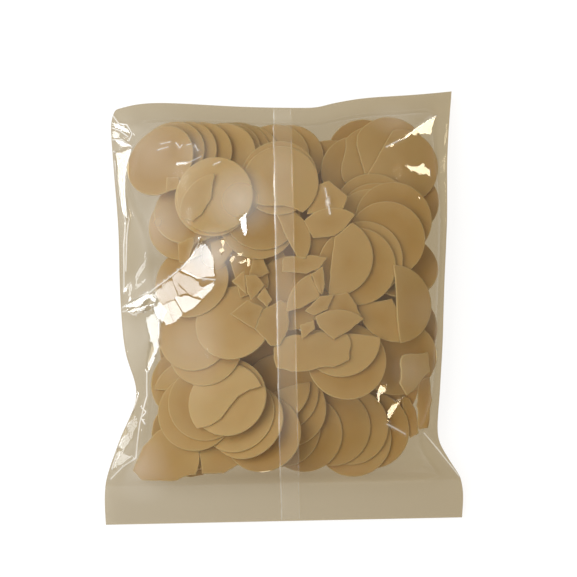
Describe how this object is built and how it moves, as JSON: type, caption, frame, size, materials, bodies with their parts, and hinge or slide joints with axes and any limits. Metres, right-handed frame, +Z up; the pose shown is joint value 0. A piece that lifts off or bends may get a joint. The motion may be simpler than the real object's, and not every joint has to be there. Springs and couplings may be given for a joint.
{
  "type": "bag of rice papads",
  "caption": "Clear sealed pillow bag full of small round rice papads, whole and broken, with a lapped seam down the middle and a flat weld across each end.",
  "frame": {"origin": "middle of the bag's footprint, on the surface that it lies on", "axes": "+Z up out of the seamed face, +Y along the bag from the bottom seal to the top seal, +X across the bag to the right as the seamed face is seen"},
  "size_m": [0.1828, 0.222, 0.0381],
  "materials": {
    "clear_film": "thin clear polypropylene film, glossy, slightly hazy at the welds",
    "papad": "dried rice dough, satin, slightly translucent, pale at the rims"
  },
  "bodies": {
    "root": {"bag": "clear_film"}
  },
  "joints": []
}
